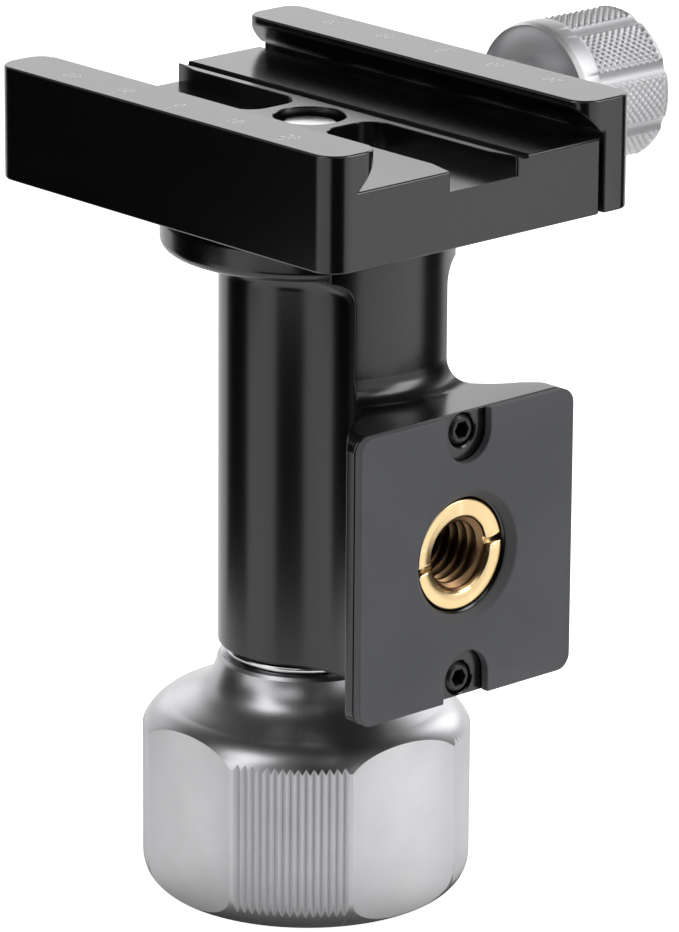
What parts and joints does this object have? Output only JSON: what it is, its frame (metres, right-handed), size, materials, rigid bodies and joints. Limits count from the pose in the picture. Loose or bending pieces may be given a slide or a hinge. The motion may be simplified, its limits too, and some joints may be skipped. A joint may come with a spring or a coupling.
{
  "type": "monopod tilt head",
  "caption": "Tilting monopod head: barrel with a square foot plate and screw socket, large locking knob, and a dovetail clamp with a sliding jaw and knurled screw knob.",
  "frame": {"origin": "on the tilt axis, at the flat end of the tilt knob that the head stands on", "axes": "+Z along the tilt axis from the tilt knob to the clamp, -Y out of the foot plate, +X out of the clamp knob"},
  "size_m": [0.0772, 0.062, 0.1053],
  "materials": {
    "black_aluminium": "fine blasted black anodising, satin",
    "silver_aluminium": "fine blasted clear anodising, satin",
    "foot_rubber": "smooth matt",
    "brass": "turned, bright",
    "bronze": "sintered, oily",
    "steel": "ground, bright",
    "black_steel": "black oxide",
    "nylon": "natural, smooth"
  },
  "bodies": {
    "housing": {"housing": "black_aluminium", "foot_pad": "foot_rubber", "foot_bushing": "brass", "upper_lock_screw": "black_steel", "lower_lock_screw": "black_steel", "lower_bush": "bronze", "upper_bush": "bronze", "thrust_washer": "nylon"},
    "rotor": {"turntable_disc": "black_aluminium", "spindle": "steel", "stop_washer": "steel", "stop_screw": "black_steel", "front_dowel": "steel", "rear_dowel": "steel", "clamp_base": "black_aluminium", "clamp_bolt": "steel", "front_jaw_spring": "steel", "rear_jaw_spring": "steel"},
    "jaw": {"moving_jaw": "black_aluminium", "front_guide_pin": "steel", "rear_guide_pin": "steel"},
    "clamp_knob": {"clamp_knob": "silver_aluminium", "clamp_screw": "steel", "clamp_washer": "steel", "clamp_cross_pin": "steel"},
    "pressure_ring": {"pressure_ring": "steel", "lower_disc_spring": "steel", "upper_disc_spring": "steel"},
    "tilt_knob": {"tilt_knob": "silver_aluminium", "tilt_knob_insert": "steel", "tilt_knob_cap": "silver_aluminium"}
  },
  "joints": [
    {"name": "tilt_turn", "type": "hinge", "parent": "housing", "child": "rotor", "pos_m": [0, 0, 0.06], "axis": [0, 0, 1], "continuous": true},
    {"name": "jaw_slide", "type": "slide", "parent": "rotor", "child": "jaw", "axis": [1, 0, 0], "range_m": [-0.0004, 0.006], "deforming": ["front_jaw_spring", "rear_jaw_spring"]},
    {"name": "clamp_knob_turn", "type": "hinge", "parent": "jaw", "child": "clamp_knob", "pos_m": [0.045, 0, 0.0955], "axis": [1, 0, 0], "range_deg": [-144.01, 2160.01]},
    {"name": "pressure_ring_slide", "type": "slide", "parent": "rotor", "child": "pressure_ring", "axis": [0, 0, -1], "range_m": [0, 0.0025]},
    {"name": "tilt_knob_turn", "type": "hinge", "parent": "pressure_ring", "child": "tilt_knob", "pos_m": [0, 0, 0.015], "axis": [0, 0, -1], "range_deg": [0, 720.01]}
  ],
  "couplings": [
    {"joint": "clamp_knob_turn", "follows": "jaw_slide", "rad_per_m": 6283.2},
    {"joint": "tilt_knob_turn", "follows": "pressure_ring_slide", "rad_per_m": 5026.5}
  ]
}
